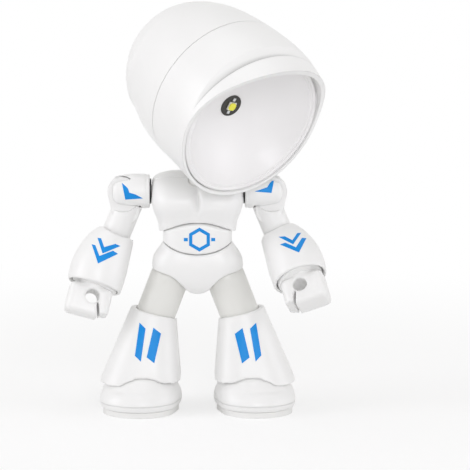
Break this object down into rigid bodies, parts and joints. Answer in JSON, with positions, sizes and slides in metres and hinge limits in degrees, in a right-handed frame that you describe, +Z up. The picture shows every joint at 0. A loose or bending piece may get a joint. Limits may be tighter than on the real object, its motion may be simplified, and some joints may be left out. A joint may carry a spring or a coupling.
{
  "type": "robot shaped desk lamp",
  "caption": "Small standing robot figure whose big hooded head is a lamp: dished reflector with one LED, jointed neck, waist, arms and legs, battery powered, switch at the back of the head.",
  "frame": {"origin": "centre of the whole figure's bounding box on the surface it stands on", "axes": "+Z up, the chest faces -Y, the figure's own left is +X"},
  "size_m": [0.0611, 0.0476, 0.0942],
  "materials": {
    "white_shell": "satin moulded plastic",
    "grey_limb": "satin moulded plastic",
    "bowl_plastic": "pale warm grey, satin",
    "board": "dark solder mask",
    "chip": "white package",
    "phosphor": "yellow phosphor gel",
    "solder": "tinned",
    "cell": "steel can",
    "contact": "spring plate",
    "inner_plastic": "moulded",
    "switch": "moulded",
    "button": "satin moulded plastic",
    "steel": "plated",
    "sole": "matt"
  },
  "bodies": {
    "pelvis": {"pelvis_front_shell": "white_shell", "pelvis_rear_shell": "white_shell", "pelvis_screw": "steel", "hip_axle": "steel", "belly_block": "white_shell", "waist_peg": "grey_limb"},
    "chest": {"chest_front_shell": "white_shell", "chest_rear_shell": "white_shell", "chest_screws": "steel"},
    "neck": {"neck_post": "grey_limb"},
    "head": {"head_rear_shell": "white_shell", "head_hood_shell": "white_shell", "reflector_bowl": "bowl_plastic", "led_board": "board", "led_package": "chip", "led_phosphor": "phosphor", "led_solder_pads": "solder", "button_cells": "cell", "battery_contacts": "contact", "battery_cradle": "inner_plastic", "switch_body": "switch", "head_screws": "steel", "head_tilt_pin": "steel"},
    "button": {"switch_button": "button"},
    "left_shoulder": {"shoulder_cap_left": "white_shell", "shoulder_peg_left": "grey_limb", "arm_pin_left": "steel"},
    "left_upper_arm": {"upper_arm_left": "grey_limb"},
    "left_forearm": {"forearm_gauntlet_left": "white_shell", "elbow_pin_left": "steel"},
    "left_hand": {"hand_left": "grey_limb"},
    "left_thigh": {"thigh_left": "grey_limb"},
    "left_boot": {"boot_left": "white_shell", "knee_pin_left": "steel", "ankle_screw_left": "steel"},
    "left_foot": {"foot_left": "white_shell", "sole_left": "sole"},
    "right_shoulder": {"shoulder_cap_right": "white_shell", "shoulder_peg_right": "grey_limb", "arm_pin_right": "steel"},
    "right_upper_arm": {"upper_arm_right": "grey_limb"},
    "right_forearm": {"forearm_gauntlet_right": "white_shell", "elbow_pin_right": "steel"},
    "right_hand": {"hand_right": "grey_limb"},
    "right_thigh": {"thigh_right": "grey_limb"},
    "right_boot": {"boot_right": "white_shell", "knee_pin_right": "steel", "ankle_screw_right": "steel"},
    "right_foot": {"foot_right": "white_shell", "sole_right": "sole"}
  },
  "joints": [
    {"name": "waist_swivel", "type": "hinge", "parent": "pelvis", "child": "chest", "pos_m": [0, 0.0093, 0.045], "axis": [0, 0, 1], "range_deg": [-30, 30]},
    {"name": "head_swivel", "type": "hinge", "parent": "chest", "child": "neck", "pos_m": [0, 0.0078, 0.055], "axis": [0, 0, 1], "range_deg": [-73, 0]},
    {"name": "head_tilt", "type": "hinge", "parent": "neck", "child": "head", "pos_m": [0, 0.0078, 0.0609], "axis": [0.809, 0.5878, 0], "range_deg": [-36, 0]},
    {"name": "switch_press", "type": "slide", "parent": "head", "child": "button", "axis": [0.5246, -0.7221, -0.4509], "range_m": [0, 0.0006], "stiffness_N_per_m": 1500},
    {"name": "left_shoulder_swing", "type": "hinge", "parent": "chest", "child": "left_shoulder", "pos_m": [0.0171, 0.0107, 0.0506], "axis": [-1, 0, 0], "range_deg": [-40, 45]},
    {"name": "left_arm_raise", "type": "hinge", "parent": "left_shoulder", "child": "left_upper_arm", "pos_m": [0.0171, 0.0107, 0.0506], "axis": [0, -1, 0], "range_deg": [-2, 75]},
    {"name": "left_elbow", "type": "hinge", "parent": "left_upper_arm", "child": "left_forearm", "pos_m": [0.01895, 0.0107, 0.0401], "axis": [-0.9205, 0, -0.3907], "range_deg": [-39, 7]},
    {"name": "left_wrist", "type": "hinge", "parent": "left_forearm", "child": "left_hand", "pos_m": [0.02439, 0.00098, 0.0294], "axis": [0.3407, -0.6293, -0.6985], "range_deg": [-90, 90]},
    {"name": "left_hip", "type": "hinge", "parent": "pelvis", "child": "left_thigh", "pos_m": [0.0065, 0.0093, 0.0306], "axis": [-1, 0, 0], "range_deg": [-24, 24]},
    {"name": "left_knee", "type": "hinge", "parent": "left_thigh", "child": "left_boot", "pos_m": [0.01041, 0.0093, 0.02042], "axis": [0.9763, 0, 0.2164], "range_deg": [0, 34]},
    {"name": "left_ankle", "type": "hinge", "parent": "left_boot", "child": "left_foot", "pos_m": [0.0127, 0.0093, 0], "axis": [0, 0, 1], "range_deg": [-10, 10]},
    {"name": "right_shoulder_swing", "type": "hinge", "parent": "chest", "child": "right_shoulder", "pos_m": [-0.0171, 0.0107, 0.0506], "axis": [-1, 0, 0], "range_deg": [-40, 75]},
    {"name": "right_arm_raise", "type": "hinge", "parent": "right_shoulder", "child": "right_upper_arm", "pos_m": [-0.0171, 0.0107, 0.0506], "axis": [0, 1, 0], "range_deg": [-2, 75]},
    {"name": "right_elbow", "type": "hinge", "parent": "right_upper_arm", "child": "right_forearm", "pos_m": [-0.01895, 0.0107, 0.0401], "axis": [-0.9205, 0, 0.3907], "range_deg": [-21, 25]},
    {"name": "right_wrist", "type": "hinge", "parent": "right_forearm", "child": "right_hand", "pos_m": [-0.02477, 0.00516, 0.0269], "axis": [-0.3648, -0.3584, -0.8594], "range_deg": [-90, 90]},
    {"name": "right_hip", "type": "hinge", "parent": "pelvis", "child": "right_thigh", "pos_m": [-0.0065, 0.0093, 0.0306], "axis": [-1, 0, 0], "range_deg": [-24, 24]},
    {"name": "right_knee", "type": "hinge", "parent": "right_thigh", "child": "right_boot", "pos_m": [-0.01041, 0.0093, 0.02042], "axis": [0.9763, 0, -0.2164], "range_deg": [0, 34]},
    {"name": "right_ankle", "type": "hinge", "parent": "right_boot", "child": "right_foot", "pos_m": [-0.0127, 0.0093, 0], "axis": [0, 0, 1], "range_deg": [-10, 10]}
  ]
}
